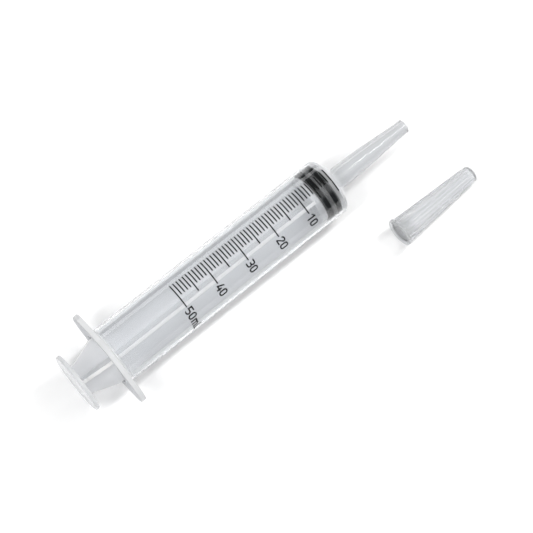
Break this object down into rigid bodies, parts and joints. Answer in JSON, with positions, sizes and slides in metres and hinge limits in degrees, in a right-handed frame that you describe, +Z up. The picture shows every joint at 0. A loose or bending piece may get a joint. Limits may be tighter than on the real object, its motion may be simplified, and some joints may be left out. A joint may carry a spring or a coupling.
{
  "type": "catheter tip syringe",
  "caption": "Translucent syringe with a long taper catheter tip, finger flange, printed volume scale, black rubber stopper, ribbed plunger rod and a ribbed tip cap lying beside it.",
  "frame": {"origin": "on the barrel axis, in the front face of the finger flange", "axes": "+X along the barrel towards the tip, Y along the two wings of the flange, +Z up"},
  "size_m": [0.2095, 0.0702, 0.0304],
  "materials": {
    "barrel_plastic": "natural translucent polypropylene, smooth",
    "rod_plastic": "natural translucent polypropylene, smooth",
    "cap_plastic": "natural translucent polypropylene, smooth",
    "black_rubber": "moulded rubber, silicone filmed",
    "black_ink": "printed ink film"
  },
  "bodies": {
    "barrel": {"barrel": "barrel_plastic", "one_ml_lines": "black_ink", "five_ml_lines": "black_ink", "ten_ml_lines": "black_ink", "scale_numerals": "black_ink", "unit_letters": "black_ink"},
    "stopper": {"stopper": "black_rubber"},
    "plunger_rod": {"plunger_rod": "rod_plastic"},
    "tip_cap": {"tip_cap": "cap_plastic"}
  },
  "joints": [
    {"name": "plunger_slide", "type": "slide", "parent": "barrel", "child": "stopper", "axis": [-1, 0, 0], "range_m": [-0.002, 0.108]},
    {"name": "plunger_twist", "type": "hinge", "parent": "stopper", "child": "plunger_rod", "pos_m": [0.12, 0, 0], "axis": [1, 0, 0], "continuous": true},
    {"name": "cap_slide", "type": "slide", "parent": "barrel", "child": "tip_cap", "axis": [1, 0, 0], "range_m": [-0.0062, 0.04]}
  ]
}
